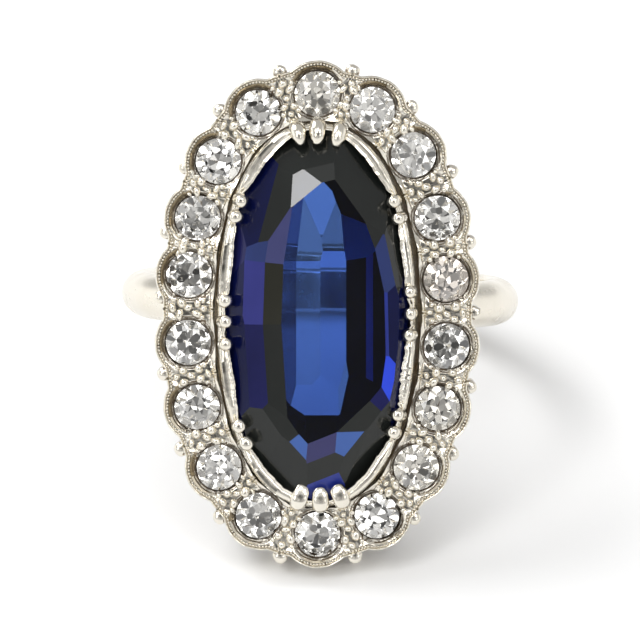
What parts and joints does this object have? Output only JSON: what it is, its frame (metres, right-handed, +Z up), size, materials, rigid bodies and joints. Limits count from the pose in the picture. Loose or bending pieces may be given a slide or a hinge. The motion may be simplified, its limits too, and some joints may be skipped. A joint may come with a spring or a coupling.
{
  "type": "sapphire and diamond cluster ring",
  "caption": "Finger ring with a long oval sapphire in claws, bordered by a scalloped row of round brilliants, lying on its side.",
  "frame": {"origin": "centre of the finger hole, halfway across the shank's width", "axes": "+Z up from the surface that the ring lies on, +X across the finger along the cluster's short way, +Y away from the side that the stones face; the finger hole's axis leans from +Z towards +Y"},
  "size_m": [0.02, 0.0262, 0.0225],
  "materials": {
    "metal": "polished platinum",
    "sapphire": "faceted and polished",
    "diamond": "faceted and polished"
  },
  "bodies": {
    "root": {"mount": "metal", "sapphire": "sapphire", "diamond_01": "diamond", "diamond_02": "diamond", "diamond_03": "diamond", "diamond_04": "diamond", "diamond_05": "diamond", "diamond_06": "diamond", "diamond_07": "diamond", "diamond_08": "diamond", "diamond_09": "diamond", "diamond_10": "diamond", "diamond_11": "diamond", "diamond_12": "diamond", "diamond_13": "diamond", "diamond_14": "diamond", "diamond_15": "diamond", "diamond_16": "diamond", "diamond_17": "diamond", "diamond_18": "diamond"}
  },
  "joints": []
}
